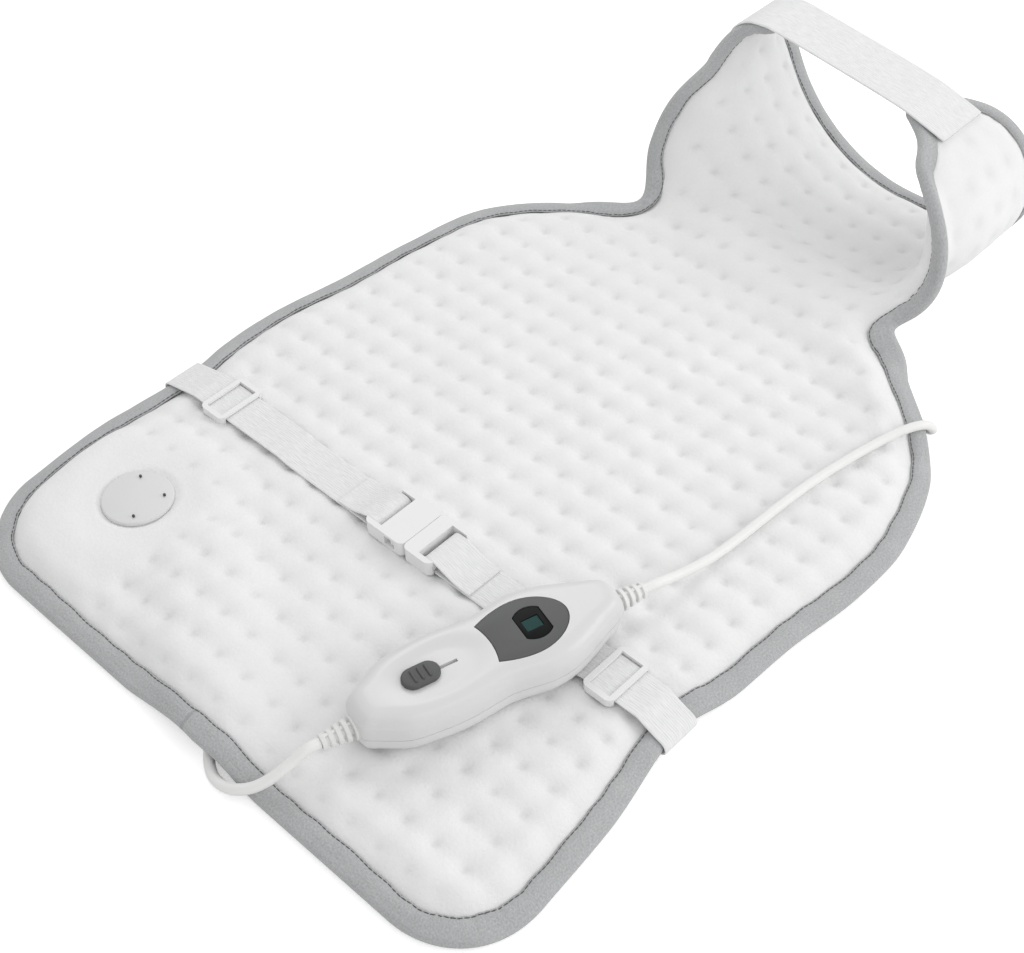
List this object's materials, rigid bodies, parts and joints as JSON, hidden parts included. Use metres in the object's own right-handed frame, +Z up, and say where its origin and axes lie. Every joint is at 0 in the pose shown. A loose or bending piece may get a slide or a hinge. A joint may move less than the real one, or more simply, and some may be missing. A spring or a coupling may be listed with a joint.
{
  "type": "heating pad with controller",
  "caption": "Soft tufted heating pad for back and neck, with a bound edge, a curled collar, a buckled waist strap and a corded slide controller with a small display.",
  "frame": {"origin": "on the floor under the middle of the pad", "axes": "+Y along the pad from its lower edge to its neckline, +Z up, +X to the right of the pad as it lies"},
  "size_m": [0.417, 0.6591, 0.128],
  "materials": {
    "plush": "short plush, tufted",
    "lining": "plain woven",
    "tape": "woven tape, speckled",
    "wire": "smooth",
    "elastic": "ribbed elastic",
    "junction_grey": "satin",
    "rivet_dark": "dark",
    "white_matte": "satin",
    "white_gloss": "gloss",
    "panel_grey": "gloss",
    "window_black": "gloss",
    "lcd_teal": "lit",
    "board_green": "satin",
    "black_plastic": "satin",
    "knob_grey": "satin",
    "relay_blue": "satin",
    "screw_steel": "plated",
    "contact_brass": "plated",
    "cord_white": "soft gloss"
  },
  "bodies": {
    "pad": {"quilted_top": "plush", "back_cover": "lining", "edge_binding": "tape", "heating_carrier": "lining", "heating_wire": "wire", "junction_plate": "junction_grey", "junction_rivet_1": "rivet_dark", "junction_rivet_2": "rivet_dark", "junction_rivet_3": "rivet_dark", "socket_housing": "white_matte", "socket_contact_1": "contact_brass", "socket_contact_2": "contact_brass", "cord_connector": "white_matte", "strap_left": "elastic", "strap_right": "elastic", "buckle_female": "white_matte", "buckle_male": "white_matte", "neck_band": "elastic", "controller_upper_shell": "white_gloss", "controller_lower_shell": "white_gloss", "controller_screw_1": "screw_steel", "controller_screw_2": "screw_steel", "controller_screw_3": "screw_steel", "controller_screw_4": "screw_steel", "display_panel": "panel_grey", "display_window": "window_black", "lcd_module": "lcd_teal", "circuit_board": "board_green", "board_rest_1": "white_matte", "board_rest_2": "white_matte", "switch_body": "black_plastic", "power_relay": "relay_blue", "terminal_pad": "board_green", "terminal_mains": "board_green", "strain_relief_pad": "cord_white", "strain_relief_mains": "cord_white", "pad_cord": "cord_white", "mains_cord": "cord_white", "mains_coil": "cord_white", "plug_lead": "cord_white", "coil_tie": "black_plastic", "mains_plug": "cord_white", "plug_pin_1": "contact_brass", "plug_pin_2": "contact_brass"},
    "switch_slider": {"slide_knob": "knob_grey", "switch_carriage": "white_matte"},
    "left_glide": {"glide_left": "white_matte"},
    "right_glide": {"glide_right": "white_matte"},
    "front_prong": {"buckle_prong_front": "white_matte"},
    "back_prong": {"buckle_prong_back": "white_matte"}
  },
  "joints": [
    {"name": "switch_slide", "type": "slide", "parent": "pad", "child": "switch_slider", "axis": [0.284, 0.9588, 0], "range_m": [0, 0.014]},
    {"name": "left_glide_slide", "type": "slide", "parent": "pad", "child": "left_glide", "axis": [1, 0, 0], "range_m": [-0.01, 0.045]},
    {"name": "right_glide_slide", "type": "slide", "parent": "pad", "child": "right_glide", "axis": [1, 0, 0], "range_m": [0, 0.013]},
    {"name": "front_prong_press", "type": "hinge", "parent": "pad", "child": "front_prong", "pos_m": [0.009, -0.1503, 0.0193], "axis": [0, 0, -1], "range_deg": [0, 12], "stiffness_Nm_per_rad": 0.05},
    {"name": "back_prong_press", "type": "hinge", "parent": "pad", "child": "back_prong", "pos_m": [0.009, -0.1347, 0.0193], "axis": [0, 0, 1], "range_deg": [0, 12], "stiffness_Nm_per_rad": 0.05}
  ],
  "couplings": [
    {"joint": "back_prong_press", "follows": "front_prong_press", "ratio": 1}
  ]
}
